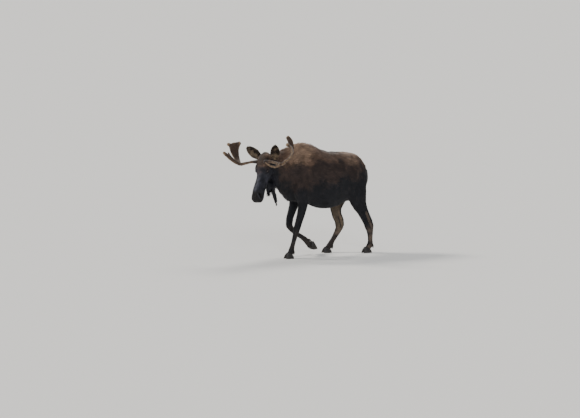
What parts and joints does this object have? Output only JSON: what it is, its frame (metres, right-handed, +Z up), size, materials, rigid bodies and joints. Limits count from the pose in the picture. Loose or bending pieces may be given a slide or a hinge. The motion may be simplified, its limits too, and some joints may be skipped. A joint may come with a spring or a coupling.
{
  "type": "moose",
  "caption": "Still, life-size young bull moose in velvet, walking with head low and turned, a forefoot lifted, long face, bell, humped shoulders and split hooves.",
  "frame": {"origin": "under the middle of the figure's bounding box, on the level of the soles", "axes": "+Y runs from the head to the tail, +X to the animal's left, +Z up"},
  "size_m": [1.1012, 2.3952, 1.9359],
  "materials": {
    "body_coat": "long dull guard hair, brown on the back and near black below",
    "leg_coat": "short flat hair, grey-brown to black",
    "face_coat": "short flat hair, brown on the forehead and dark on the muzzle",
    "velvet": "short soft velvet over growing antler",
    "hoof_horn": "worn dull horn",
    "eye": "wet and clear over a dark brown iris"
  },
  "bodies": {
    "root": {"antler_left_beam": "velvet", "antler_left_brow_tine": "velvet", "antler_left_palm": "velvet", "antler_left_rear_tine": "velvet", "antler_right_beam": "velvet", "antler_right_brow_tine": "velvet", "antler_right_palm": "velvet", "antler_right_rear_tine": "velvet", "bell": "face_coat", "dewclaw_fore_left_inner": "hoof_horn", "dewclaw_fore_left_outer": "hoof_horn", "dewclaw_fore_right_inner": "hoof_horn", "dewclaw_fore_right_outer": "hoof_horn", "dewclaw_hind_left_inner": "hoof_horn", "dewclaw_hind_left_outer": "hoof_horn", "dewclaw_hind_right_inner": "hoof_horn", "dewclaw_hind_right_outer": "hoof_horn", "ear_left": "face_coat", "ear_right": "face_coat", "eye_left": "eye", "eye_right": "eye", "head": "face_coat", "hoof_fore_left_inner": "hoof_horn", "hoof_fore_left_outer": "hoof_horn", "hoof_fore_right_inner": "hoof_horn", "hoof_fore_right_outer": "hoof_horn", "hoof_hind_left_inner": "hoof_horn", "hoof_hind_left_outer": "hoof_horn", "hoof_hind_right_inner": "hoof_horn", "hoof_hind_right_outer": "hoof_horn", "leg_fore_left_cannon": "leg_coat", "leg_fore_left_forearm": "leg_coat", "leg_fore_left_upper_arm": "leg_coat", "leg_fore_right_cannon": "leg_coat", "leg_fore_right_forearm": "leg_coat", "leg_fore_right_upper_arm": "leg_coat", "leg_hind_left_cannon": "leg_coat", "leg_hind_left_shank": "leg_coat", "leg_hind_left_thigh": "leg_coat", "leg_hind_right_cannon": "leg_coat", "leg_hind_right_shank": "leg_coat", "leg_hind_right_thigh": "leg_coat", "neck": "body_coat", "tail": "body_coat", "trunk": "body_coat"}
  },
  "joints": []
}
